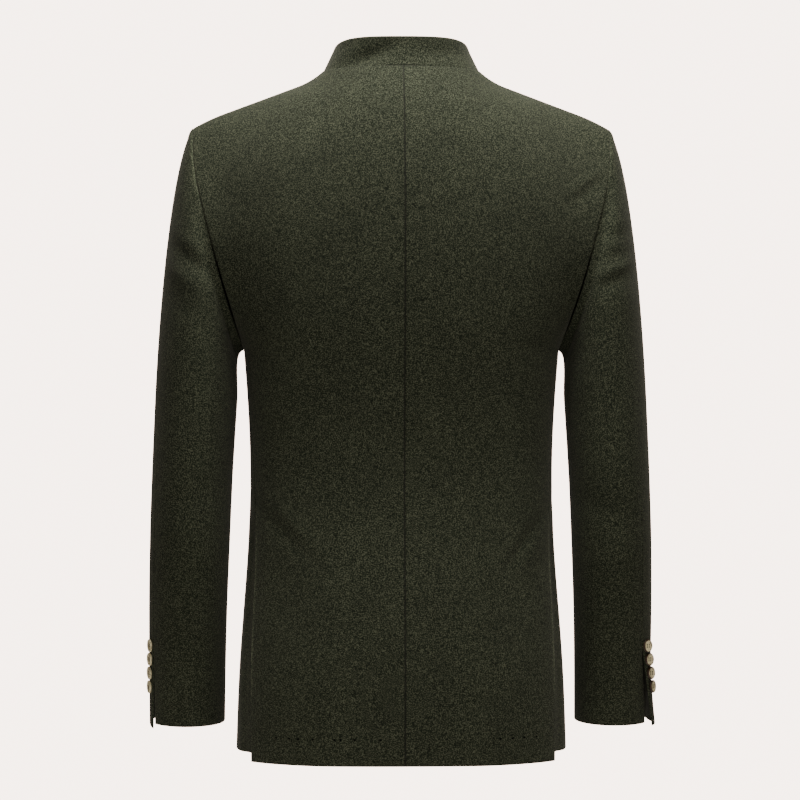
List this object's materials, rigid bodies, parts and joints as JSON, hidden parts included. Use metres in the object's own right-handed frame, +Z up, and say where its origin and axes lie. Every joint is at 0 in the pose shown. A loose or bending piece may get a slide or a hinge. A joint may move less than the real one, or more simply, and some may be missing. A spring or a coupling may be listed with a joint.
{
  "type": "trachten jacket",
  "caption": "Wool jacket with a stand collar, set-in sleeves, side vents and horn buttons, in the hollow shape it has when worn.",
  "frame": {"origin": "midway between the two neck points, where the wearer's shoulders carry the jacket", "axes": "+Z up, the front faces -Y, +X to the wearer's left"},
  "size_m": [0.5553, 0.2742, 0.7772],
  "materials": {
    "wool_cloth": "milled wool, matt melange",
    "collar_cloth": "milled wool, matt, interlined",
    "stag_horn": "stag horn, satin"
  },
  "bodies": {
    "root": {"back_left": "wool_cloth", "back_right": "wool_cloth", "front_left": "wool_cloth", "front_right": "wool_cloth", "top_sleeve_left": "wool_cloth", "top_sleeve_right": "wool_cloth", "under_sleeve_left": "wool_cloth", "under_sleeve_right": "wool_cloth", "collar": "collar_cloth", "cuff_button_left_1": "stag_horn", "cuff_button_left_2": "stag_horn", "cuff_button_left_3": "stag_horn", "cuff_button_left_4": "stag_horn", "cuff_button_right_1": "stag_horn", "cuff_button_right_2": "stag_horn", "cuff_button_right_3": "stag_horn", "cuff_button_right_4": "stag_horn", "front_button_1": "stag_horn", "front_button_2": "stag_horn", "front_button_3": "stag_horn", "front_button_4": "stag_horn", "front_button_5": "stag_horn"}
  },
  "joints": []
}
